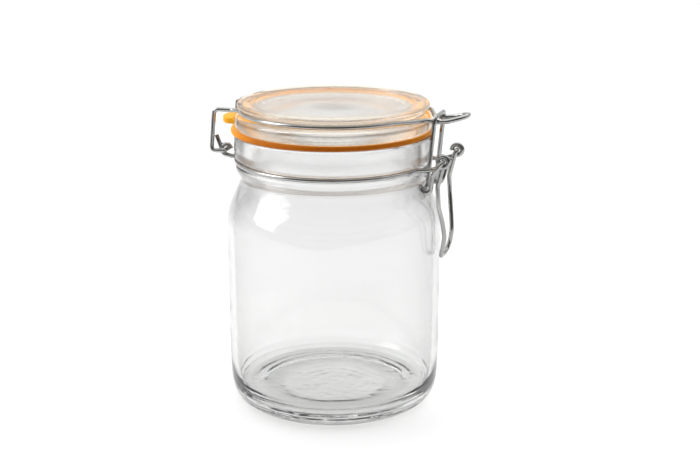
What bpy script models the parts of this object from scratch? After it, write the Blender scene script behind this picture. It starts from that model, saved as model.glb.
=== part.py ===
"""Wire-clamp preserving jar in clear glass, closed: jar, lid, rubber ring and bent-wire closure.

Metres, +Z up. The base centre is the origin and +X points at the clamp.
"""
import math

import bmesh
import bpy
from mathutils import Matrix, Vector

MM = 0.001
STEPS = 56  # facets around every turned shape
WIRE_R = 1.2
HINGE = (-55.0, 134.0)  # x, z of the lid hinge axis
PIVOT = (62.5, 136.0)  # x, z of the lever pivot axis
CRANK = (53.0, 121.3)  # x, z of the bail's axis on the lever
EYE_R = 2.75  # centreline radius of every wire eye

RING_Z = 130.5  # neck wire
RING_R = 50.7
LID_RING_Z = 156.3  # lid wire
LID_RING_R = 48.3
LEG_TOP_Z = 155.7  # the level stretch from the hinge leg to the groove
GASKET_SHIFT = -0.8  # the rubber ring sits a little towards the hinge

HINGE_EYE_Y = 13.2
HINGE_LEG_Y = 15.9
BAIL_Y = 9.4
HOOK_Y = 12.1
PIVOT_EYE_Y = 14.8
CRANK_Y = 17.5
HANDLE_Y = 8.0

JAR_PROFILE = [
    # outside, from the rim down
    (43.4, 144.9), (50.5, 145.0), (51.5, 144.6), (51.9, 143.6), (51.9, 133.2),
    (51.3, 132.4), (49.1, 132.1), (49.1, 128.9), (50.8, 128.6), (51.3, 127.6),
    (50.9, 125.8), (49.6, 123.5), (48.4, 121.4), (49.5, 118.3), (50.8, 115.0),
    (52.4, 111.8), (53.9, 108.4), (55.2, 105.2), (56.1, 101.6), (56.4, 97.0),
    (56.4, 30.0), (56.1, 17.0), (55.7, 11.0), (54.6, 6.2), (52.8, 3.0),
    (50.0, 0.8), (46.8, 0.0), (40.2, 0.0), (37.4, 0.6), (31.0, 0.6),
    (27.6, 0.0), (0.0, 0.0),
]
JAR_INSIDE = [
    # inside, from the floor up
    (0.0, 6.4), (30.0, 6.6), (45.0, 7.0), (49.5, 8.8), (52.0, 12.6),
    (53.0, 20.0), (53.1, 95.0), (52.6, 100.4), (51.2, 104.8), (49.2, 108.8),
    (46.6, 112.8), (44.2, 116.8), (42.8, 121.0), (42.4, 126.0), (42.4, 143.8),
]
LID_PROFILE = [
    # top, rim, wire groove, seat and plug
    (0.0, 159.3), (34.0, 159.5), (40.0, 159.6), (43.2, 160.1), (45.2, 160.8),
    (47.4, 161.0), (49.2, 160.7), (50.0, 159.7), (49.9, 158.7), (48.9, 157.9),
    (46.75, 157.8), (46.75, 154.8), (49.0, 154.7), (50.4, 153.8), (51.1, 152.4),
    (51.3, 150.6), (51.1, 148.1), (50.5, 147.6), (42.2, 147.6), (41.4, 147.0),
    (40.9, 145.9), (39.6, 144.9), (36.0, 145.3), (30.0, 147.4), (20.0, 150.4),
    (10.0, 152.0), (0.0, 152.5),
]
GASKET_PROFILE = [(43.6, 147.3), (52.0, 147.3), (52.6, 146.8), (52.6, 145.8), (52.0, 145.3), (43.6, 145.3)]


def clear_scene():
    for obj in list(bpy.data.objects):
        bpy.data.objects.remove(obj, do_unlink=True)


def new_collection(name, cutter=False):
    made = bpy.data.collections.new(name)
    bpy.context.scene.collection.children.link(made)
    made.hide_render = cutter
    return made


def surface(name, colour, roughness, metallic=0.0, transmission=0.0, ior=1.5):
    mat = bpy.data.materials.new(name)
    mat.use_nodes = True
    bsdf = mat.node_tree.nodes["Principled BSDF"]
    bsdf.inputs["Base Color"].default_value = (*colour, 1.0)
    bsdf.inputs["Roughness"].default_value = roughness
    bsdf.inputs["Metallic"].default_value = metallic
    bsdf.inputs["Transmission Weight"].default_value = transmission
    bsdf.inputs["IOR"].default_value = ior
    return mat


def applied(obj, name, where, mat, origin=(0.0, 0.0, 0.0)):
    """The evaluated mesh of obj as a plain object, with its origin at a point in mm."""
    deps = bpy.context.evaluated_depsgraph_get()
    mesh = bpy.data.meshes.new_from_object(obj.evaluated_get(deps))
    base = Vector(origin) * MM
    mesh.transform(Matrix.Translation(-base) @ obj.matrix_world)
    bpy.data.objects.remove(obj, do_unlink=True)
    weld(mesh)
    mesh.materials.clear()
    mesh.materials.append(mat)
    made = bpy.data.objects.new(name, mesh)
    made.location = base
    where.objects.link(made)
    return made


def weld(mesh):
    bm = bmesh.new()
    bm.from_mesh(mesh)
    bmesh.ops.remove_doubles(bm, verts=bm.verts, dist=0.00002)
    bmesh.ops.recalc_face_normals(bm, faces=bm.faces)
    if bm.calc_volume(signed=True) < 0:
        bmesh.ops.reverse_faces(bm, faces=bm.faces)
    bm.to_mesh(mesh)
    bm.free()


def turned(name, profile, where, closed=True):
    """A profile of (radius, height) in mm, screwed once around Z."""
    mesh = bpy.data.meshes.new(name)
    points = [(r * MM, 0.0, z * MM) for r, z in profile]
    edges = [(i, i + 1) for i in range(len(points) - 1)]
    if closed:
        edges.append((len(points) - 1, 0))
    mesh.from_pydata(points, edges, [])
    obj = bpy.data.objects.new(name, mesh)
    where.objects.link(obj)
    screw = obj.modifiers.new("Screw", "SCREW")
    screw.steps = STEPS
    screw.render_steps = STEPS
    screw.use_merge_vertices = True
    screw.merge_threshold = 0.00005
    return obj


def rounded(points, radius, steps=4):
    """The same path with every inner corner turned into a short arc."""
    pts = [Vector(p) for p in points]
    radii = radius if isinstance(radius, (list, tuple)) else [radius] * len(pts)
    out = [pts[0]]
    for before, here, after, r in zip(pts, pts[1:], pts[2:], radii[1:]):
        back, ahead = (before - here).normalized(), (after - here).normalized()
        bend = math.pi - back.angle(ahead)
        reach = r * math.tan(bend / 2)
        reach = min(reach, 0.49 * (before - here).length, 0.49 * (after - here).length)
        if reach < 0.05:
            out.append(here)
            continue
        start, end = here + back * reach, here + ahead * reach
        count = max(1, min(steps, math.ceil(bend / 0.35)))
        for i in range(count + 1):
            t = i / count
            out.append(start.lerp(here, t).lerp(here.lerp(end, t), t))
    out.append(pts[-1])
    return out


def arc(radius, z, start, end, count):
    """Points on a level circle around Z, angles in degrees from +X."""
    angles = [math.radians(start + (end - start) * i / count) for i in range(count + 1)]
    return [Vector((radius * math.cos(a), radius * math.sin(a), z)) for a in angles]


def eye(centre, y, start, end, count=12):
    """Points of an upright loop around an axis along Y, angles in degrees from +X."""
    angles = [math.radians(start + (end - start) * i / count) for i in range(count + 1)]
    return [Vector((centre[0] + EYE_R * math.cos(a), y, centre[1] + EYE_R * math.sin(a))) for a in angles]


def mirrored(points):
    return [Vector((p[0], -p[1], p[2])) for p in reversed(points)]


def wire(name, points, where):
    """A round wire through points in mm."""
    curve = bpy.data.curves.new(name, "CURVE")
    curve.dimensions = "3D"
    curve.bevel_depth = WIRE_R * MM
    curve.bevel_resolution = 2
    curve.use_fill_caps = True
    spline = curve.splines.new("POLY")
    spline.points.add(len(points) - 1)
    for slot, p in zip(spline.points, points):
        slot.co = (*(Vector(p) * MM), 1.0)
    obj = bpy.data.objects.new(name, curve)
    where.objects.link(obj)
    return obj


def join(base, tool):
    """Booleans tool into base, then removes it."""
    mod = base.modifiers.new("Join", "BOOLEAN")
    mod.operation = "UNION"
    mod.solver = "EXACT"
    mod.object = tool
    return mod


def make_jar(parts, mat):
    return applied(turned("jar_profile", JAR_PROFILE + JAR_INSIDE, parts, closed=True), "jar_glass", parts, mat)


def make_lid(parts, mat, origin):
    return applied(turned("lid_profile", LID_PROFILE, parts, closed=False), "lid_glass", parts, mat, origin)


def tab_outline():
    """The gasket's pull tab in plan, in mm: a paddle that leans a little to one side."""
    far = [(-50.6, 11.8), (-57.5, 12.2), (-61.6, 11.6), (-63.6, 9.6), (-64.0, 6.8)]
    near = [(-62.8, 2.9), (-60.6, -0.4), (-57.4, -2.3), (-53.6, -2.6), (-50.6, -2.4)]
    return far + near


def make_gasket(parts, cutters, mat, origin):
    ring = turned("gasket_profile", GASKET_PROFILE, parts)
    ring.location.x = GASKET_SHIFT * MM
    ring = applied(ring, "gasket_ring", parts, mat)
    bm = bmesh.new()
    low = [bm.verts.new((x * MM, y * MM, 145.45 * MM)) for x, y in tab_outline()]
    bm.faces.new(low)
    for x in (-56.6, -54.6):
        bmesh.ops.bisect_plane(bm, geom=bm.verts[:] + bm.edges[:] + bm.faces[:], dist=0.00001,
                               plane_co=(x * MM, 0.0, 0.0), plane_no=(1.0, 0.0, 0.0))
    top = bmesh.ops.extrude_face_region(bm, geom=bm.faces[:])
    lifted = [v for v in top["geom"] if isinstance(v, bmesh.types.BMVert)]
    bmesh.ops.translate(bm, verts=lifted, vec=(0, 0, 1.7 * MM))
    grip = [v for v in bm.verts if v.co.x < -56.0 * MM]  # thicker past the ring, and tipped up at the far edge
    for vert in grip:
        vert.co.z += 0.05 * (vert.co.y + 2.6 * MM) + (1.1 * MM if vert in lifted else 0.0)
    bmesh.ops.recalc_face_normals(bm, faces=bm.faces)
    mesh = bpy.data.meshes.new("gasket_tab")
    bm.to_mesh(mesh)
    bm.free()
    tab = bpy.data.objects.new("gasket_tab", mesh)
    cutters.objects.link(tab)
    tab.display_type = "WIRE"
    join(ring, tab)
    made = applied(ring, "gasket", parts, mat, origin)
    return made


def make_lid_wire(parts, mat, origin):
    """One wire: hinge pin and leg, round the groove, out to the nose, and back."""
    x, z = HINGE
    leg = rounded(
        [
            (x, -10.7, z), (x, -HINGE_LEG_Y, z), (-62.4, -HINGE_LEG_Y, z - 0.4),
            (-60.2, -HINGE_LEG_Y, LEG_TOP_Z), (-50.4, -HINGE_LEG_Y, LEG_TOP_Z), (-45.0, -17.6, LID_RING_Z),
        ],
        [0, 1.3, 2.2, 3.0, 3.0, 0],
    )
    side = arc(LID_RING_R, LID_RING_Z, -157.0, -37.0, 19)
    nose = rounded(
        [
            (39.6, -27.7, LID_RING_Z), (48.3, -16.6, 155.6), (52.0, -7.0, 154.9), (56.5, -6.7, 154.2), (62.5, -6.7, 154.9),
            (67.6, -6.0, 156.3), (71.0, -3.0, 157.2), (71.4, 0.0, 157.4),
        ],
        [0, 9.0, 3.2, 6.0, 8.0, 5.0, 3.0, 0],
    )
    half = leg[:-1] + side + nose
    return applied(wire("lid_path", half + mirrored(half)[1:], parts), "lid_wire", parts, mat, origin)


def make_neck_wire(parts, cutters, mat):
    """The wire in the neck groove, with two hinge eyes behind and two pivot eyes in front."""
    corner = math.degrees(math.asin(PIVOT_EYE_Y / RING_R))
    rise = rounded(
        [
            (48.0, -16.3, RING_Z), (48.7, -PIVOT_EYE_Y, RING_Z), (56.5, -PIVOT_EYE_Y, 131.4),
            (PIVOT[0] - 0.3, -PIVOT_EYE_Y, PIVOT[1] - EYE_R),
        ],
        [0, 1.6, 3.0, 0],
    )
    front = rise[:-1] + eye(PIVOT, -PIVOT_EYE_Y, -90.0, 188.0)
    near = arc(RING_R, RING_Z, -180.0, -(corner + 2.6), 27) + front[1:]
    ring = applied(wire("neck_path", mirrored(near)[:-1] + near, parts), "neck_ring", parts, mat)
    for side in (-1, 1):
        y = side * HINGE_EYE_Y
        tail = [(-49.2, y, RING_Z), (-51.6, y, 130.6)] + eye(HINGE, y, -90.0, -346.0)
        hinge = applied(wire("hinge_path", tail, cutters), "hinge_eye", cutters, mat)
        hinge.display_type = "WIRE"
        join(ring, hinge)
        ring = applied(ring, "neck_ring", parts, mat)
        bpy.data.objects.remove(hinge, do_unlink=True)
        end = applied(wire("end_path", [(-57.85, 0.98 * y, 133.9), (-59.3, 0.98 * y, 138.2), (-60.7, 0.98 * y, 141.4)], cutters), "wire_end", cutters, mat)
        end.display_type = "WIRE"
        join(ring, end)
        ring = applied(ring, "neck_ring", parts, mat)
        bpy.data.objects.remove(end, do_unlink=True)
    ring.name = "neck_wire"
    return ring


def make_lever(parts, mat, origin):
    """The handle loop, the pivot pins through the eyes, and the cranks that end in open hooks."""
    px, pz = PIVOT
    hook = eye(CRANK, -HOOK_Y, 158.0, 350.0, 8)
    crank = rounded(
        [
            hook[-1] + Vector((0.0, 0.0, 0.2)), (57.6, -CRANK_Y + 0.6, 128.6), (60.0, -CRANK_Y, 132.2), (px, -CRANK_Y, pz),
            (px, -HOOK_Y, pz), (59.2, -HOOK_Y, 122.4), (59.9, -HOOK_Y, 112.0), (61.4, -9.4, 103.0),
            (62.3, -HANDLE_Y, 95.0), (61.4, -HANDLE_Y, 88.6), (60.2, -6.4, 84.2), (59.8, 0.0, 83.2),
        ],
        [0, 4.0, 4.0, 1.4, 1.4, 8.0, 14.0, 14.0, 9.0, 6.0, 4.5, 0],
    )
    half = hook + crank[1:]
    return applied(wire("lever_path", half + mirrored(half)[1:], parts), "lever", parts, mat, origin)


def make_bail(parts, mat, origin):
    """The link whose top bar lies over the nose and whose feet turn in the hooks."""
    x, z = CRANK
    half = rounded(
        [(x, -14.0, z), (x, -BAIL_Y, z), (56.2, -BAIL_Y, 153.8), (56.5, -BAIL_Y + 0.6, 156.9), (56.5, 0.0, 156.95)],
        [0, 1.4, 2.0, 2.0, 0],
    )
    return applied(wire("bail_path", half + mirrored(half)[1:], parts), "bail", parts, mat, origin)


def main():
    clear_scene()
    parts = new_collection("Wire-clamp preserving jar")
    cutters = new_collection("Cutters", cutter=True)
    glass = surface("clear_glass", (0.93, 0.95, 0.94), 0.03, transmission=1.0)
    rubber = surface("orange_rubber", (0.85, 0.36, 0.04), 0.45)
    steel = surface("zinc_wire", (0.62, 0.62, 0.6), 0.28, metallic=1.0)
    hinge = (HINGE[0], 0.0, HINGE[1])
    make_jar(parts, glass)
    make_neck_wire(parts, cutters, steel)
    make_lid(parts, glass.copy(), hinge)
    make_gasket(parts, cutters, rubber, hinge)
    make_lid_wire(parts, steel.copy(), hinge)
    make_lever(parts, steel.copy(), (PIVOT[0], 0.0, PIVOT[1]))
    make_bail(parts, steel.copy(), (CRANK[0], 0.0, CRANK[1]))
    for obj in list(cutters.objects):
        bpy.data.objects.remove(obj, do_unlink=True)


main()
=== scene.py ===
import math

import bpy
import bmesh
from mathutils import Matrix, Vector


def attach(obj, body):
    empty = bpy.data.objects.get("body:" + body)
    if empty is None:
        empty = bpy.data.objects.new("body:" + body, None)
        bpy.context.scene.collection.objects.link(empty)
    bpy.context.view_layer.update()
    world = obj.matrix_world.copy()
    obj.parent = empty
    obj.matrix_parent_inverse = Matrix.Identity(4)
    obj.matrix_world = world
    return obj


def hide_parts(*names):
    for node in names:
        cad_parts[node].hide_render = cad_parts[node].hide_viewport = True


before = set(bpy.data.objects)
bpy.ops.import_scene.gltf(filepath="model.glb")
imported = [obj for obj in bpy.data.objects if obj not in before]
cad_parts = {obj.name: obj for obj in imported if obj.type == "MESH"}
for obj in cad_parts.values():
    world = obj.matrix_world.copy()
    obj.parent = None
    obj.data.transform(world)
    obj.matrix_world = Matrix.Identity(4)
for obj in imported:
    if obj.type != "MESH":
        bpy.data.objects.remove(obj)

mm = 0.001
smoothAngle = math.radians(50)
profileWeld = 0.000008  # points closer than this are one, in metres
wireWeld = 0.000005
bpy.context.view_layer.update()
print("frame loaded:", len(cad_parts), "nodes")


def clearSelection():
    if bpy.context.object and bpy.context.object.mode != "OBJECT":
        bpy.ops.object.mode_set(mode="OBJECT")
    bpy.ops.object.select_all(action="DESELECT")


def makeActive(obj):
    clearSelection()
    obj.select_set(True)
    bpy.context.view_layer.objects.active = obj


def dressPiece(obj, name, material, body, node):
    # one finished piece: named, coloured, riding on its body
    obj.name = name
    obj.data.name = name
    obj.data.materials.clear()
    obj.data.materials.append(material)
    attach(obj, body)
    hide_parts(node)
    print("piece", name, len(obj.data.polygons), "faces")


def turnProfile(points, steps, loop):
    # lays the profile out in the XZ plane by extruding one vertex along it, then spins it round Z
    clearSelection()
    bpy.ops.mesh.primitive_plane_add(size=0.001, location=(0, 0, 0))
    obj = bpy.context.object
    bpy.ops.object.mode_set(mode="EDIT")
    bpy.ops.mesh.select_all(action="SELECT")
    bpy.ops.mesh.merge(type="CENTER")
    last = Vector((0, 0, 0))
    first = Vector((points[0][0] * mm, 0, points[0][1] * mm))
    bpy.ops.transform.translate(value=first - last)
    last = first
    for radius, height in points[1:]:
        here = Vector((radius * mm, 0, height * mm))
        bpy.ops.mesh.extrude_vertices_move(TRANSFORM_OT_translate={"value": here - last})
        last = here
    if loop:
        bm = bmesh.from_edit_mesh(obj.data)
        ends = [v for v in bm.verts if len(v.link_edges) == 1]
        if len(ends) == 2:
            bm.edges.new(ends)
        bmesh.update_edit_mesh(obj.data)
    bpy.ops.mesh.select_all(action="SELECT")
    bpy.ops.mesh.spin(steps=steps, angle=math.tau, center=(0, 0, 0), axis=(0, 0, 1))
    bpy.ops.mesh.select_all(action="SELECT")
    bpy.ops.mesh.remove_doubles(threshold=profileWeld)
    bpy.ops.mesh.normals_make_consistent(inside=False)
    bpy.ops.object.mode_set(mode="OBJECT")
    makeActive(obj)
    bpy.ops.object.shade_smooth_by_angle(angle=smoothAngle)
    return obj


def roundPath(points, radii, step=0.16):
    # every corner of a wire's path becomes a short arc
    pts = [Vector(p) for p in points]
    out = [pts[0]]
    for before, here, after, radius in zip(pts, pts[1:], pts[2:], radii[1:]):
        back, ahead = (before - here).normalized(), (after - here).normalized()
        bend = math.pi - back.angle(ahead)
        reach = min(radius * math.tan(bend / 2), 0.49 * (before - here).length, 0.49 * (after - here).length)
        if reach < 0.05:
            out.append(here)
            continue
        start, end = here + back * reach, here + ahead * reach
        count = max(2, math.ceil(bend / step))
        out += [start.lerp(here, i / count).lerp(here.lerp(end, i / count), i / count) for i in range(count + 1)]
    out.append(pts[-1])
    return out


def levelArc(radius, height, start, end, count):
    angles = [math.radians(start + (end - start) * i / count) for i in range(count + 1)]
    return [Vector((radius * math.cos(a), radius * math.sin(a), height)) for a in angles]


def uprightLoop(centre, y, radius, start, end, count=36):
    angles = [math.radians(start + (end - start) * i / count) for i in range(count + 1)]
    return [Vector((centre[0] + radius * math.cos(a), y, centre[1] + radius * math.sin(a))) for a in angles]


def otherSide(points):
    return [Vector((p[0], -p[1], p[2])) for p in reversed(points)]


def bendWire(points, thickness):
    # a round wire along a path in millimetres, turned into a mesh
    clearSelection()
    bpy.ops.curve.primitive_nurbs_path_add(location=(0, 0, 0))
    obj = bpy.context.object
    obj.data.splines.clear()
    spline = obj.data.splines.new("POLY")
    spline.points.add(len(points) - 1)
    for knot, p in zip(spline.points, points):
        knot.co = (p[0] * mm, p[1] * mm, p[2] * mm, 1.0)
    obj.data.dimensions = "3D"
    obj.data.bevel_depth = thickness / 2 * mm
    obj.data.bevel_resolution = 5
    obj.data.use_fill_caps = True
    makeActive(obj)
    bpy.ops.object.convert(target="MESH")
    obj = bpy.context.object
    bpy.ops.object.mode_set(mode="EDIT")
    bpy.ops.mesh.select_all(action="SELECT")
    bpy.ops.mesh.remove_doubles(threshold=wireWeld)
    bpy.ops.mesh.normals_make_consistent(inside=False)
    bpy.ops.object.mode_set(mode="OBJECT")
    makeActive(obj)
    bpy.ops.object.shade_smooth_by_angle(angle=smoothAngle)
    return obj


def addBlob(tree, name, place):
    node = tree.nodes.new(name)
    node.location = place
    return node


def newMaterial(name):
    material = bpy.data.materials.new(name)
    material.use_nodes = True
    return material, material.node_tree, material.node_tree.nodes["Principled BSDF"]


def buildRippleGroup():
    # slow waviness with a finer grain on top, given as a normal
    group = bpy.data.node_groups.new("surfaceRipple", "ShaderNodeTree")
    for title, kind, value in (("Wave Scale", "NodeSocketFloat", 20.0), ("Grain Scale", "NodeSocketFloat", 400.0),
                               ("Wave Depth", "NodeSocketFloat", 0.1), ("Grain Depth", "NodeSocketFloat", 0.02)):
        socket = group.interface.new_socket(title, in_out="INPUT", socket_type=kind)
        socket.default_value = value
    stretch = group.interface.new_socket("Stretch", in_out="INPUT", socket_type="NodeSocketVector")
    stretch.default_value = (1, 1, 1)
    group.interface.new_socket("Normal", in_out="OUTPUT", socket_type="NodeSocketVector")
    group.interface.new_socket("Wave", in_out="OUTPUT", socket_type="NodeSocketFloat")
    inputs = addBlob(group, "NodeGroupInput", (-800, 0))
    outputs = addBlob(group, "NodeGroupOutput", (400, 0))
    place = addBlob(group, "ShaderNodeTexCoord", (-800, 300))
    wave = addBlob(group, "ShaderNodeTexNoise", (-500, 200))
    grain = addBlob(group, "ShaderNodeTexNoise", (-500, -100))
    bumpWave = addBlob(group, "ShaderNodeBump", (-100, 200))
    bumpGrain = addBlob(group, "ShaderNodeBump", (100, -50))
    wave.inputs["Detail"].default_value = 1.0
    grain.inputs["Detail"].default_value = 2.0
    bumpWave.inputs["Distance"].default_value = 0.001
    bumpGrain.inputs["Distance"].default_value = 0.001
    link = group.links.new
    pull = addBlob(group, "ShaderNodeVectorMath", (-650, 200))
    pull.operation = "MULTIPLY"
    link(place.outputs["Object"], pull.inputs[0])
    link(inputs.outputs["Stretch"], pull.inputs[1])
    link(pull.outputs["Vector"], wave.inputs["Vector"])
    link(place.outputs["Object"], grain.inputs["Vector"])
    link(inputs.outputs["Wave Scale"], wave.inputs["Scale"])
    link(inputs.outputs["Grain Scale"], grain.inputs["Scale"])
    link(inputs.outputs["Wave Depth"], bumpWave.inputs["Strength"])
    link(inputs.outputs["Grain Depth"], bumpGrain.inputs["Strength"])
    link(wave.outputs["Fac"], bumpWave.inputs["Height"])
    link(grain.outputs["Fac"], bumpGrain.inputs["Height"])
    link(bumpWave.outputs["Normal"], bumpGrain.inputs["Normal"])
    link(bumpGrain.outputs["Normal"], outputs.inputs["Normal"])
    link(wave.outputs["Fac"], outputs.inputs["Wave"])
    return group


def placeRipple(tree, group, values):
    node = addBlob(tree, "ShaderNodeGroup", (-600, -200))
    node.node_tree = group
    for title, value in values.items():
        node.inputs[title].default_value = value
    return node


def shadeBetween(tree, factor, low, high, place):
    # a colour that runs from low to high with a mask
    ramp = addBlob(tree, "ShaderNodeValToRGB", place)
    ramp.color_ramp.elements[0].color = (*low, 1)
    ramp.color_ramp.elements[1].color = (*high, 1)
    tree.links.new(factor, ramp.inputs["Fac"])
    return ramp


def axisMasks(tree):
    # distance from the upright axis, and height, in metres
    place = addBlob(tree, "ShaderNodeTexCoord", (-1500, 500))
    flat = addBlob(tree, "ShaderNodeVectorMath", (-1300, 550))
    flat.operation = "MULTIPLY"
    flat.inputs[1].default_value = (1, 1, 0)
    distance = addBlob(tree, "ShaderNodeVectorMath", (-1100, 550))
    distance.operation = "LENGTH"
    split = addBlob(tree, "ShaderNodeSeparateXYZ", (-1300, 350))
    tree.links.new(place.outputs["Object"], flat.inputs[0])
    tree.links.new(flat.outputs["Vector"], distance.inputs[0])
    tree.links.new(place.outputs["Object"], split.inputs[0])
    return distance.outputs["Value"], split.outputs["Z"]


def spread(tree, value, low, high, place):
    # 0 below low, 1 above high
    node = addBlob(tree, "ShaderNodeMapRange", place)
    node.inputs["From Min"].default_value = low
    node.inputs["From Max"].default_value = high
    tree.links.new(value, node.inputs["Value"])
    return node.outputs["Result"]


def combine(tree, operation, first, second, place):
    node = addBlob(tree, "ShaderNodeMath", place)
    node.operation = operation
    for socket, value in zip(node.inputs, (first, second)):
        if isinstance(value, (int, float)):
            socket.default_value = value
        else:
            tree.links.new(value, socket)
    return node.outputs[0]


def bands(tree, value, stops, place, unit=mm):
    # a colour ramp over a length in millimetres, or over a plain value with a unit of 1
    low, high = stops[0][0], stops[-1][0]
    ramp = addBlob(tree, "ShaderNodeValToRGB", place)
    while len(ramp.color_ramp.elements) < len(stops):
        ramp.color_ramp.elements.new(0.5)
    for stop, (where, colour) in zip(ramp.color_ramp.elements, stops):
        stop.position = (where - low) / (high - low)
        stop.color = (*colour, 1)
    share = spread(tree, value, low * unit, high * unit, (place[0] - 200, place[1]))
    tree.links.new(share, ramp.inputs["Fac"])
    return ramp.outputs["Color"]


def tinted(tree, colour, paintedLightAndShade, place):
    blend = addBlob(tree, "ShaderNodeMix", place)
    blend.data_type, blend.blend_type = "RGBA", "MULTIPLY"
    blend.inputs["Factor"].default_value = 1.0
    tree.links.new(colour, blend.inputs["A"])
    tree.links.new(paintedLightAndShade, blend.inputs["B"])
    return blend.outputs["Result"]


def mixColours(tree, factor, first, second, place):
    node = addBlob(tree, "ShaderNodeMix", place)
    node.data_type = "RGBA"
    tree.links.new(factor, node.inputs["Factor"])
    for title, value in (("A", first), ("B", second)):
        if isinstance(value, tuple):
            node.inputs[title].default_value = (*value, 1)
        else:
            tree.links.new(value, node.inputs[title])
    return node.outputs["Result"]


def makeGlass(name, group, look):
    material, tree, shader = newMaterial(name)
    shader.inputs["Transmission Weight"].default_value = 1.0
    shader.inputs["Metallic"].default_value = 0.0
    shader.inputs["IOR"].default_value = look["ior"]
    ripple = placeRipple(tree, group, look["ripple"])
    ramp = shadeBetween(tree, ripple.outputs["Wave"], look["deep"], look["clear"], (-300, 200))
    colour = ramp.outputs["Color"]
    distance, height = axisMasks(tree)
    # painted light and shade by the distance from the axis, multiplied into the glass colour
    colour = tinted(tree, colour, bands(tree, distance, look["paintedLightAndShade"], (-500, 600)), (-50, 300))
    # painted light and shade in bands by height, moved up and down by the slow wave of the glass: soft grey streaks and
    # lines
    drift = combine(tree, "MULTIPLY", ripple.outputs["Wave"], look["levelDrift"], (-900, 900))
    drifted = combine(tree, "ADD", height, drift, (-700, 900))
    colour = tinted(tree, colour, bands(tree, drifted, look["paintedHeightBands"], (-300, 900)), (-50, 600))
    # painted shade towards the outline, darker where the face turns away, for the longer way through the glass there
    # that takes more light; stronger on the shoulder
    facing = addBlob(tree, "ShaderNodeLayerWeight", (-900, 1200))
    facing.inputs["Blend"].default_value = 0.5
    shoulder = combine(tree, "MULTIPLY", spread(tree, height, *look["shoulderFoot"], (-1100, 1400)),
                       spread(tree, height, *look["shoulderTop"], (-1100, 1600)), (-900, 1400))
    extra = combine(tree, "MULTIPLY", shoulder, look["shoulderShade"], (-700, 1400))
    reach = combine(tree, "ADD", extra, 1.0, (-500, 1400))
    edge = combine(tree, "MULTIPLY", facing.outputs["Facing"], reach, (-700, 1200))
    colour = tinted(tree, colour, bands(tree, edge, look["edgeShade"], (-300, 1200), 1.0), (150, 600))
    top = spread(tree, height, *look["topFrom"], (-900, 350))
    inner = combine(tree, "SUBTRACT", 1.0, spread(tree, distance, *look["frostEdge"], (-900, 150)), (-700, 150))
    frosted = combine(tree, "MULTIPLY", top, inner, (-500, 150))
    rough = combine(tree, "MULTIPLY", frosted, look["frost"], (-300, -50))
    rough = combine(tree, "ADD", rough, bands(tree, height, look["soft"], (-300, -150)), (-100, -50))
    tree.links.new(rough, shader.inputs["Roughness"])
    climb = combine(tree, "ADD", distance, height, (-900, 50))
    turns = combine(tree, "MULTIPLY", climb, math.tau / look["ringStep"], (-900, -50))
    wave = combine(tree, "SINE", turns, 0.0, (-700, -50))
    spots = addBlob(tree, "ShaderNodeTexNoise", (-900, -450))
    spots.inputs["Scale"].default_value = look["stippleScale"]
    tree.links.new(addBlob(tree, "ShaderNodeTexCoord", (-1100, -450)).outputs["Object"], spots.inputs["Vector"])
    heel = combine(tree, "MULTIPLY", spread(tree, height, *look["heel"], (-900, -250)), look["heelDepth"], (-700, -250))
    # rings, fainter where the face is stippled
    fade = combine(tree, "MULTIPLY", frosted, look["ringFade"], (-900, -600))
    fade = combine(tree, "SUBTRACT", 1.0, fade, (-700, -600))
    wave = combine(tree, "MULTIPLY", wave, fade, (-500, -600))
    stipple = combine(tree, "MULTIPLY", spots.outputs["Fac"], look["stipple"], (-700, -450))
    wave = combine(tree, "ADD", wave, stipple, (-500, -450))
    depth = combine(tree, "MULTIPLY", frosted, look["ringDepth"], (-500, -250))
    depth = combine(tree, "MAXIMUM", depth, heel, (-300, -250))
    rings = addBlob(tree, "ShaderNodeBump", (-150, -250))
    rings.inputs["Distance"].default_value = look["ringHeight"]
    tree.links.new(depth, rings.inputs["Strength"])
    tree.links.new(wave, rings.inputs["Height"])
    tree.links.new(ripple.outputs["Normal"], rings.inputs["Normal"])
    tree.links.new(colour, shader.inputs["Base Color"])
    tree.links.new(rings.outputs["Normal"], shader.inputs["Normal"])
    # light passes through to the floor, so the shadow stays faint
    rays = addBlob(tree, "ShaderNodeLightPath", (0, 400))
    through = addBlob(tree, "ShaderNodeBsdfTransparent", (0, -500))
    through.inputs["Color"].default_value = (*look["shadow"], 1)
    mix = addBlob(tree, "ShaderNodeMixShader", (300, 100))
    out = tree.nodes["Material Output"]
    tree.links.new(rays.outputs["Is Shadow Ray"], mix.inputs[0])
    tree.links.new(shader.outputs[0], mix.inputs[1])
    tree.links.new(through.outputs[0], mix.inputs[2])
    tree.links.new(mix.outputs[0], out.inputs["Surface"])
    return material


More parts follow.
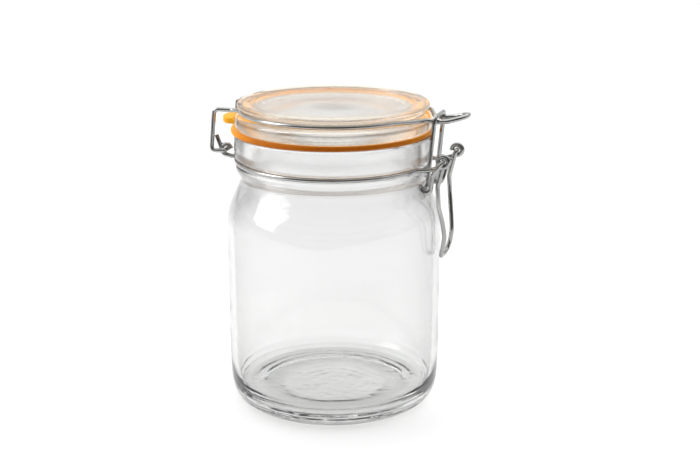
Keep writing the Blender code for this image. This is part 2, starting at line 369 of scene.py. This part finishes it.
def makeRubber(name, group, look):
    material, tree, shader = newMaterial(name)
    shader.inputs["Roughness"].default_value = look["roughness"]
    shader.inputs["Specular IOR Level"].default_value = look["shine"]
    shader.inputs["Subsurface Weight"].default_value = look["glow"]
    shader.inputs["Subsurface Radius"].default_value = (0.004, 0.0016, 0.0004)
    shader.inputs["Subsurface Scale"].default_value = 1.0
    ripple = placeRipple(tree, group, look["ripple"])
    ramp = shadeBetween(tree, ripple.outputs["Wave"], look["dark"], look["light"], (-300, 200))
    place = addBlob(tree, "ShaderNodeSeparateXYZ", (-1100, 400))
    tree.links.new(addBlob(tree, "ShaderNodeTexCoord", (-1300, 400)).outputs["Object"], place.inputs[0])
    # painted light and shade along X: the rubber is lighter and yellower at the left end and the tab, where the light
    # falls, darker in the middle, and a little lighter at the right end
    side = bands(tree, place.outputs["X"], look["paintedLightAlongX"], (-500, 450))
    # painted light: the faces between the two glasses, which lie in shade, are paler than the outer wall
    distance, height = axisMasks(tree)
    outer = spread(tree, distance, *look["outerFrom"], (-700, 700))
    inside = mixColours(tree, outer, look["inner"], side, (-200, 600))
    # painted glow: the faces that the glasses hide give off a faint orange light, in place of the light that thin
    # rubber lets through
    hidden = combine(tree, "SUBTRACT", 1.0, outer, (-500, 900))
    paintedGlow = combine(tree, "MULTIPLY", hidden, look["paintedGlow"], (-300, 900))
    tree.links.new(paintedGlow, shader.inputs["Emission Strength"])
    shader.inputs["Emission Color"].default_value = (*look["paintedGlowColour"], 1)
    colour = tinted(tree, ramp.outputs["Color"], inside, (-50, 300))
    tree.links.new(colour, shader.inputs["Base Color"])
    tree.links.new(ripple.outputs["Normal"], shader.inputs["Normal"])
    return material


def makeSteel(name, group, look):
    material, tree, shader = newMaterial(name)
    shader.inputs["Metallic"].default_value = 1.0
    ripple = placeRipple(tree, group, look["ripple"])
    ramp = shadeBetween(tree, ripple.outputs["Wave"], look["dark"], look["light"], (-300, 200))
    tree.links.new(ramp.outputs["Color"], shader.inputs["Base Color"])
    rough = addBlob(tree, "ShaderNodeMapRange", (-300, -50))
    rough.inputs["To Min"].default_value = look["smooth"]
    rough.inputs["To Max"].default_value = look["rough"]
    tree.links.new(ripple.outputs["Wave"], rough.inputs["Value"])
    tree.links.new(rough.outputs["Result"], shader.inputs["Roughness"])
    tree.links.new(ripple.outputs["Normal"], shader.inputs["Normal"])
    return material


def grey(value):
    return (value, value, value)


ripple = buildRippleGroup()

jarLook = {
    "steps": 128,
    "glass": {
        "ior": 1.5, "deep": (0.850, 0.852, 0.850), "clear": (0.885, 0.887, 0.885),
        "shadow": (0.93, 0.932, 0.931),
        "ripple": {"Wave Scale": 22.0, "Grain Scale": 300.0, "Wave Depth": 0.16, "Grain Depth": 0.008,
                   "Stretch": (0.5, 0.5, 2.5)},
        # painted light and shade on the base: lighter in the middle, a darker ring round it
        "paintedLightAndShade": [(0.0, grey(1.11)), (27.0, grey(1.11)), (28.5, grey(0.98)), (37.0, grey(0.96)), (39.5, grey(1.0))],
        # painted shade in streaks low on the jar and in a faint line under the rim, painted light on the neck
        "paintedHeightBands": [(1.0, (1.0, 1.0, 1.0)), (2.6, (0.80, 0.81, 0.80)), (4.2, (0.98, 0.98, 0.98)),
                   (6.2, (0.78, 0.79, 0.78)), (8.0, (1.0, 1.0, 1.0)), (10.4, (0.90, 0.91, 0.90)),
                   (13.0, (1.0, 1.0, 1.0)), (118.0, (1.0, 1.0, 1.0)), (124.0, (1.06, 1.06, 1.06)), (135.5, (1.06, 1.06, 1.06)),
                   (137.6, (0.93, 0.93, 0.925)), (139.0, (0.95, 0.95, 0.945)), (141.0, (1.04, 1.04, 1.04))],
        "levelDrift": 0.003,
        "soft": [(108.0, grey(0.0)), (116.0, grey(0.08)), (124.0, grey(0.16)), (143.0, grey(0.18)), (144.5, grey(0.0))],
        "edgeShade": [(0.25, grey(1.0)), (0.45, grey(0.95)), (0.60, grey(0.86)), (0.75, grey(0.76)), (0.90, grey(0.60)),
                      (1.0, grey(0.50))],
        "shoulderFoot": (0.099, 0.106), "shoulderTop": (0.127, 0.121), "shoulderShade": 0.35,
        "heel": (0.0150, 0.0100), "heelDepth": 0.5, "topFrom": (0.0095, 0.0085), "frostEdge": (0.0385, 0.0400),
        "frost": 0.05, "ringHeight": 0.0002, "ringStep": 0.0055, "ringDepth": 0.16, "ringFade": 0.85,
        "stippleScale": 95.0, "stipple": 4.5,
    },
    "outside": [
        (51.5, 144.6), (51.9, 143.6), (51.9, 133.2), (51.3, 132.4), (49.1, 132.1), (49.1, 128.9), (50.8, 128.6),
        (51.3, 127.6), (50.9, 125.8), (49.6, 123.5), (48.4, 121.4), (49.5, 118.3), (50.8, 115.0), (52.4, 111.8),
        (53.9, 108.4), (55.2, 105.2), (56.1, 101.6), (56.4, 97.0), (56.4, 30.0), (56.1, 17.0), (55.7, 11.0),
        (54.6, 6.2), (52.8, 3.0), (50.0, 0.8), (46.8, 0.0), (40.2, 0.0), (37.4, 0.6), (31.0, 0.6), (27.6, 0.0),
    ],
    "inside": [
        (30.0, 6.6), (45.0, 7.0), (49.5, 8.8), (52.0, 12.6), (53.0, 20.0), (53.1, 95.0), (52.6, 100.4),
        (51.2, 104.8), (49.2, 108.8), (46.6, 112.8), (44.2, 116.8), (42.8, 121.0), (42.4, 126.0), (42.4, 143.8),
        (43.4, 144.9), (50.5, 145.0),
    ],
}


def softened(points, passes):
    # corner cutting keeps the ends and rounds what is between them
    for _ in range(passes):
        out = [points[0]]
        for (r0, z0), (r1, z1) in zip(points, points[1:]):
            out += [(0.75 * r0 + 0.25 * r1, 0.75 * z0 + 0.25 * z1), (0.25 * r0 + 0.75 * r1, 0.25 * z0 + 0.75 * z1)]
        out.append(points[-1])
        points = out
    return points


def makeJar():
    outline = [(0.0, 6.4)] + jarLook["inside"] + jarLook["outside"] + [(0.0, 0.0)]
    jar = turnProfile(softened(outline, 2), jarLook["steps"], loop=False)
    glass = makeGlass("jarGlass", ripple, jarLook["glass"])
    dressPiece(jar, "jarGlassBody", glass, "jar", "jar_glass")


lidLook = {
    "steps": 128,
    "glass": {
        "ior": 1.5, "deep": (0.960, 0.966, 0.962), "clear": (0.980, 0.983, 0.98),
        "shadow": (0.92, 0.92, 0.915),
        "ripple": {"Wave Scale": 60.0, "Grain Scale": 700.0, "Wave Depth": 0.12, "Grain Depth": 0.008,
                   "Stretch": (0.2, 0.2, 6)},
        # painted shade in the middle of the lid, and towards the rim a painted peach reflection of the orange ring
        # under the glass
        "paintedLightAndShade": [(9.0, (0.97, 0.967, 0.96)), (15.0, (0.87, 0.855, 0.835)), (34.0, (0.88, 0.86, 0.835)),
                 (39.5, (1.0, 0.965, 0.925)), (43.0, (1.0, 0.94, 0.86)), (47.5, (0.99, 0.885, 0.73)),
                 (49.6, (0.99, 0.90, 0.77)), (50.6, (1.0, 0.975, 0.94))],
        # on the lid, a painted peach reflection of the orange ring low down and two painted dark lines
        "paintedHeightBands": [(147.4, (1.0, 0.90, 0.76)), (149.2, (1.0, 0.93, 0.82)), (150.6, (1.0, 0.985, 0.96)),
                   (151.9, (1.0, 0.985, 0.965)), (152.5, (0.30, 0.28, 0.26)), (153.0, (0.30, 0.28, 0.26)),
                   (153.4, (1.0, 0.97, 0.93)), (155.5, (1.0, 0.95, 0.89)), (157.5, (1.0, 1.0, 1.0)),
                   (160.0, (1.0, 1.0, 1.0)), (160.2, (0.66, 0.64, 0.62)), (160.6, (0.66, 0.64, 0.62)),
                   (160.9, (1.0, 1.0, 1.0))],
        "edgeShade": [(0.60, grey(1.0)), (1.0, grey(0.92))],
        "levelDrift": 0.0008,
        "soft": [(146.0, grey(0.01)), (147.5, grey(0.08)), (153.5, grey(0.08)), (155.0, grey(0.02)),
                 (158.0, grey(0.0))],
        "shoulderFoot": (0.150, 0.151), "shoulderTop": (0.154, 0.153), "shoulderShade": 0.0,
        "heel": (0.1440, 0.1430), "heelDepth": 0.0, "topFrom": (0.1420, 0.1430), "frostEdge": (0.0425, 0.0440),
        "frost": 0.17,
        "ringHeight": 0.0002, "ringStep": 0.0021, "ringDepth": 0.30, "ringFade": 0.4, "stippleScale": 900.0,
        "stipple": 1.2,
    },
    "outline": [
        (0.0, 159.3), (34.0, 159.5), (40.0, 159.6), (43.2, 160.1), (45.2, 160.8), (47.4, 161.0), (49.2, 160.7),
        (50.0, 159.7), (49.9, 158.7), (48.9, 157.9), (46.75, 157.8), (46.75, 154.8), (49.0, 154.7), (50.4, 153.8),
        (51.1, 152.4), (51.3, 150.6), (51.1, 148.1), (50.5, 147.6), (42.2, 147.6), (41.4, 147.0), (40.9, 145.9),
        (39.6, 144.9), (36.0, 145.3), (30.0, 147.4), (20.0, 150.4), (10.0, 152.0), (0.0, 152.5),
    ],
}


def makeLid():
    lid = turnProfile(softened(lidLook["outline"], 2), lidLook["steps"], loop=False)
    glass = makeGlass("lidGlass", ripple, lidLook["glass"])
    dressPiece(lid, "lidGlassDisc", glass, "lid", "lid_glass")


gasketLook = {
    "steps": 128, "shift": -0.8,
    # pressed against both glasses
    "outline": [(43.6, 147.63), (51.6, 147.63), (52.6, 146.9), (52.6, 145.7), (51.6, 144.98), (43.6, 144.98)],
    "tab": {
        "reach": (6.9, 7.4), "middle": (-57.1, 4.8), "squareness": 0.72, "lean": 0.36, "leanFrom": 4.0,
        "low": 145.45, "thick": 1.75, "cuts": (-56.8, -55.8, -54.8), "grip": 1.15, "gripFrom": -54.8, "gripRun": 2.0,
        "tip": 0.05, "tipFrom": 2.6, "rounding": 0.8,
    },
    "rubber": {
        "roughness": 0.42, "shine": 0.08, "glow": 0.10, "dark": (0.92, 0.92, 0.92), "light": (1.0, 1.0, 1.0),
        # inner is a paler colour painted on the shaded faces, and the glow on them is painted light
        "outerFrom": (0.0500, 0.0508), "inner": (0.97, 0.50, 0.10), "paintedGlow": 0.22, "paintedGlowColour": (1.0, 0.60, 0.28),
        # painted light and shade along X, lighter at the left end where the light falls
        "paintedLightAlongX": [(-64.0, (0.99, 0.45, 0.02)), (-53.0, (1.0, 0.46, 0.03)), (-44.0, (0.90, 0.32, 0.012)),
                  (-25.0, (0.56, 0.155, 0.004)),
                  (10.0, (0.45, 0.112, 0.002)), (45.0, (0.52, 0.145, 0.003)), (54.0, (0.75, 0.28, 0.01))],
        "ripple": {"Wave Scale": 55.0, "Grain Scale": 900.0, "Wave Depth": 0.1, "Grain Depth": 0.08},
    },
}


def makeGasket():
    ring = turnProfile(softened(gasketLook["outline"], 1), gasketLook["steps"], loop=True)
    makeActive(ring)
    ring.location.x = gasketLook["shift"] * mm
    bpy.ops.object.transform_apply(location=True, rotation=True, scale=True)
    rubber = makeRubber("orangeRubber", ripple, gasketLook["rubber"])
    dressPiece(ring, "rubberRing", rubber, "lid", "gasket")
    tab = gasketLook["tab"]
    clearSelection()
    bpy.ops.mesh.primitive_circle_add(vertices=48, radius=1, fill_type="NGON", location=(0, 0, 0))
    piece = bpy.context.object
    bpy.ops.object.mode_set(mode="EDIT")
    bm = bmesh.from_edit_mesh(piece.data)
    for vert in bm.verts:
        # a squarish paddle that leans a little to one side
        across, along = (math.copysign(abs(c) ** tab["squareness"], c) for c in vert.co.xy)
        x = tab["middle"][0] + tab["reach"][0] * across
        y = tab["middle"][1] + tab["reach"][1] * along
        if x < tab["middle"][0]:
            x += tab["lean"] * max(0.0, tab["leanFrom"] - y) * -across
        vert.co = (x * mm, y * mm, tab["low"] * mm)
    bmesh.update_edit_mesh(piece.data)
    bpy.ops.mesh.select_all(action="SELECT")
    bpy.ops.mesh.extrude_region_move(TRANSFORM_OT_translate={"value": (0, 0, tab["thick"] * mm)})
    for cut in tab["cuts"]:
        bpy.ops.mesh.select_all(action="SELECT")
        bpy.ops.mesh.bisect(plane_co=(cut * mm, 0, 0), plane_no=(1, 0, 0))
    bm = bmesh.from_edit_mesh(piece.data)
    for vert in bm.verts:
        # thicker past the ring, and tipped up at the far edge
        past = min(1.0, max(0.0, (tab["gripFrom"] - vert.co.x / mm) / tab["gripRun"]))
        if vert.co.z > (tab["low"] + 0.5) * mm:
            vert.co.z += tab["grip"] * past * mm
        vert.co.z += tab["tip"] * past * (vert.co.y + tab["tipFrom"] * mm)
    bmesh.update_edit_mesh(piece.data)
    bpy.ops.mesh.select_all(action="SELECT")
    bpy.ops.mesh.normals_make_consistent(inside=False)
    bpy.ops.object.mode_set(mode="OBJECT")
    makeActive(piece)
    edge = piece.modifiers.new("Bevel", "BEVEL")
    edge.width = tab["rounding"] * mm
    edge.segments = 4
    edge.limit_method = "ANGLE"
    bpy.ops.object.modifier_apply(modifier="Bevel")
    bpy.ops.object.shade_smooth_by_angle(angle=smoothAngle)
    dressPiece(piece, "rubberTab", rubber, "lid", "gasket")


wireLook = {
    "thickness": 2.4,
    "hinge": (-55.0, 134.0), "pivot": (62.5, 136.0), "crank": (53.0, 121.3), "eye": 2.75,
    # distances of the loops and legs from the middle plane
    "hingeEyeSide": 13.2, "hingeLegSide": 15.9, "pivotEyeSide": 14.8, "crankSide": 17.5, "hookSide": 12.1,
    "bailSide": 9.4, "handleSide": 8.0,
    "steel": {
        "smooth": 0.05, "rough": 0.16, "dark": (0.30, 0.30, 0.295), "light": (0.50, 0.50, 0.49),
        "ripple": {"Wave Scale": 120.0, "Grain Scale": 1500.0, "Wave Depth": 0.12, "Grain Depth": 0.06},
    },
}


def makeLidWire(steel):
    x, z = wireLook["hinge"]
    height, legTop = 156.3, 155.7
    y = -wireLook["hingeLegSide"]
    leg = roundPath(
        [(x, -10.7, z), (x, y, z), (-62.4, y, z - 0.4), (-60.2, y, legTop), (-50.4, y, legTop), (-45.0, -17.6, height)],
        [0, 1.3, 2.2, 3.0, 3.0, 0],
    )
    side = levelArc(48.3, height, -157.0, -37.0, 78)
    nose = roundPath(
        [(39.6, -27.7, height), (48.3, -16.6, 155.6), (52.0, -7.0, 154.9), (56.5, -6.7, 154.2), (62.5, -6.7, 154.9),
         (67.6, -6.0, 156.3), (71.0, -3.0, 157.2), (71.4, 0.0, 157.4)],
        [0, 9.0, 3.2, 6.0, 8.0, 5.0, 3.0, 0],
    )
    half = leg[:-1] + side + nose
    wire = bendWire(half + otherSide(half)[1:], wireLook["thickness"])
    dressPiece(wire, "lidWireLoop", steel, "lid", "lid_wire")


def makeNeckWire(steel):
    height, radius = 130.5, 50.7
    pivot, eye = wireLook["pivot"], wireLook["eye"]
    eyeSide = wireLook["pivotEyeSide"]
    corner = math.degrees(math.asin(eyeSide / radius))
    rise = roundPath(
        [(48.0, -16.3, height), (48.7, -eyeSide, height), (56.5, -eyeSide, 131.4),
         (pivot[0] - 0.3, -eyeSide, pivot[1] - eye)],
        [0, 1.6, 3.0, 0],
    )
    near = levelArc(radius, height, -180.0, -(corner + 2.6), 90) + rise[1:-1]
    near += uprightLoop(pivot, -eyeSide, eye, -90.0, 188.0)
    ring = bendWire(otherSide(near)[:-1] + near, wireLook["thickness"])
    dressPiece(ring, "neckWireRing", steel, "jar", "neck_wire")
    for side, name in ((-1, "hingeEyeNear"), (1, "hingeEyeFar")):
        y = side * wireLook["hingeEyeSide"]
        path = [Vector((-49.2, y, height)), Vector((-51.6, y, 130.6))]
        path += uprightLoop(wireLook["hinge"], y, eye, -90.0, -346.0)
        loop = bendWire(path, wireLook["thickness"])
        dressPiece(loop, name, steel, "jar", "neck_wire")
        # the loose end sits a little nearer the middle plane than the loop
        endY = 0.98 * y
        end = [(-57.85, endY, 133.9), (-59.3, endY, 138.2), (-60.7, endY, 141.4)]
        end = bendWire(end, wireLook["thickness"])
        dressPiece(end, name.replace("Eye", "WireEnd"), steel, "jar", "neck_wire")


def makeLever(steel):
    px, pz = wireLook["pivot"]
    crankY, hookY, handleY = (-wireLook[side] for side in ("crankSide", "hookSide", "handleSide"))
    hook = uprightLoop(wireLook["crank"], hookY, wireLook["eye"], 158.0, 350.0, 24)
    crank = roundPath(
        [hook[-1] + Vector((0, 0, 0.2)), (57.6, -16.9, 128.6), (60.0, crankY, 132.2), (px, crankY, pz), (px, hookY, pz),
         (59.2, hookY, 122.4), (59.9, hookY, 112.0), (61.4, -9.4, 103.0), (62.3, handleY, 95.0), (61.4, handleY, 88.6),
         (60.2, -6.4, 84.2), (59.8, 0.0, 83.2)],
        [0, 4.0, 4.0, 1.4, 1.4, 8.0, 14.0, 14.0, 9.0, 6.0, 4.5, 0],
    )
    half = hook + crank[1:]
    wire = bendWire(half + otherSide(half)[1:], wireLook["thickness"])
    dressPiece(wire, "leverHandle", steel, "lever", "lever")


def makeBail(steel):
    x, z = wireLook["crank"]
    y = -wireLook["bailSide"]
    half = roundPath(
        [(x, -14.0, z), (x, y, z), (56.2, y, 153.8), (56.5, -8.8, 156.9), (56.5, 0.0, 156.95)],
        [0, 1.4, 2.0, 2.0, 0],
    )
    wire = bendWire(half + otherSide(half)[1:], wireLook["thickness"])
    dressPiece(wire, "bailLink", steel, "bail", "bail")


makeJar()
makeLid()
makeGasket()
steel = makeSteel("brightWire", ripple, wireLook["steel"])
makeLidWire(steel)
makeNeckWire(steel)
makeLever(steel)
makeBail(steel)

stage = {
    "floor": (0.95, 0.95, 0.95), "floorSize": 8.0, "floorFront": 0.45, "floorGap": 0.0002,
    "paperRough": 0.7, "paperShine": 0.2,
    # levels of the sky by the sine of the height
    "sky": [(0.0, 0.78), (0.12, 0.70), (0.38, 0.74), (0.62, 1.35), (1.0, 1.65)],
    "brightSide": (-0.62, 0.55, 0.56), "sideRange": (0.50, 1.2),
    # levels from behind, bright, to in front, dark
    "front": (0.31, -0.95, 0.0),
    "facing": [(-1.0, 1.2), (-0.9, 1.1), (-0.6, 1.0), (0.05, 1.0), (0.62, 0.22)],
    "backdrop": 1.0,
    # levels for rays that leave glass, by the sine of the height
    "through": [(0.0, 0.95), (0.10, 1.05), (0.19, 0.55), (0.24, 1.1), (0.36, 1.1), (0.42, 0.60), (0.47, 1.15),
                (0.60, 1.15), (0.66, 0.70), (0.72, 1.15), (1.0, 1.1)],
    "headroom": 2.0,  # the ramps hold levels divided by this
    "lights": [
        # name, place, size, power
        ("windowLeft", (-0.95, -0.45, 0.72), (0.60, 0.75), 6.5),
    ],
    "lightAim": (0, 0, 0.08),
}


def makeFloor():
    clearSelection()
    # the paper ends in front, where only the wires' reflections reach
    size = stage["floorSize"]
    place = (0, size / 2 - stage["floorFront"], -stage["floorGap"])
    bpy.ops.mesh.primitive_plane_add(size=size, location=place)
    floor = bpy.context.object
    floor.name = "paleFloor"
    material, tree, shader = newMaterial("palePaper")
    shader.inputs["Base Color"].default_value = (*stage["floor"], 1)
    shader.inputs["Roughness"].default_value = stage["paperRough"]
    shader.inputs["Specular IOR Level"].default_value = stage["paperShine"]
    floor.data.materials.append(material)


def levelStops(title):
    return [(where, grey(level / stage["headroom"])) for where, level in stage[title]]


def towardShare(room, place, direction, where):
    # 1 where the room is looked at in this direction, -1 in the opposite one
    node = addBlob(room, "ShaderNodeVectorMath", where)
    node.operation = "DOT_PRODUCT"
    node.inputs[1].default_value = direction
    room.links.new(place.outputs["Generated"], node.inputs[0])
    return node.outputs["Value"]


def makeSky():
    world = bpy.data.worlds.new("paleRoom")
    bpy.context.scene.world = world
    world.use_nodes = True
    room = world.node_tree
    link = room.links.new
    place = addBlob(room, "ShaderNodeTexCoord", (-1100, 0))
    split = addBlob(room, "ShaderNodeSeparateXYZ", (-900, 0))
    link(place.outputs["Generated"], split.inputs[0])
    height = split.outputs["Z"]
    sky = bands(room, height, levelStops("sky"), (-500, 0), 1.0)
    share = addBlob(room, "ShaderNodeMapRange", (-500, -250))
    share.inputs["From Min"].default_value = -1.0
    share.inputs["To Min"].default_value, share.inputs["To Max"].default_value = stage["sideRange"]
    link(towardShare(room, place, stage["brightSide"], (-700, -250)), share.inputs["Value"])
    ahead = towardShare(room, place, stage["front"], (-700, -500))
    dim = bands(room, ahead, levelStops("facing"), (-300, -500), 1.0)
    dim = combine(room, "MULTIPLY", dim, stage["headroom"], (-100, -500))
    both = combine(room, "MULTIPLY", share.outputs["Result"], dim, (-300, -300))
    level = addBlob(room, "ShaderNodeVectorMath", (-250, 0))
    level.operation = "SCALE"
    link(sky, level.inputs[0])
    link(both, level.inputs["Scale"])
    # rays that leave glass see a calmer room, and the camera sees a plain backdrop
    calm = bands(room, height, levelStops("through"), (-300, -900), 1.0)
    rays = addBlob(room, "ShaderNodeLightPath", (0, -600))
    seen = mixColours(room, rays.outputs["Is Transmission Ray"], level.outputs["Vector"], calm, (0, 0))
    backdrop = grey(stage["backdrop"] / stage["headroom"])
    seen = mixColours(room, rays.outputs["Is Camera Ray"], seen, backdrop, (200, 0))
    background = room.nodes["Background"]
    link(seen, background.inputs["Color"])
    background.inputs["Strength"].default_value = stage["headroom"]


def makeLights():
    for name, place, size, power in stage["lights"]:
        lamp = bpy.data.lights.new(name, "AREA")
        lamp.shape = "RECTANGLE"
        lamp.size, lamp.size_y = size
        lamp.energy = power
        holder = bpy.data.objects.new(name, lamp)
        bpy.context.scene.collection.objects.link(holder)
        holder.location = place
        aim = Vector(stage["lightAim"]) - Vector(place)
        holder.rotation_euler = aim.to_track_quat("-Z", "Y").to_euler()


cameraLook = {
    "focal": 1330, "width": 700, "sensor": 36,  # pixels, pixels, millimetres
    "clip": (0.01, 20), "place": (0.2179, -0.6431, 0.287), "tilt": 73.8, "turn": 18.0,
}


def makeCamera():
    lens = bpy.data.cameras.new("photoView")
    lens.sensor_width = cameraLook["sensor"]
    lens.lens = cameraLook["focal"] / cameraLook["width"] * cameraLook["sensor"]
    lens.clip_start, lens.clip_end = cameraLook["clip"]
    camera = bpy.data.objects.new("photoView", lens)
    bpy.context.scene.collection.objects.link(camera)
    camera.location = cameraLook["place"]
    camera.rotation_euler = (math.radians(cameraLook["tilt"]), 0, math.radians(cameraLook["turn"]))
    bpy.context.scene.camera = camera
    bpy.context.scene.view_settings.view_transform = "Standard"


makeFloor()
makeSky()
makeLights()
makeCamera()
print("stage, lights and camera placed")
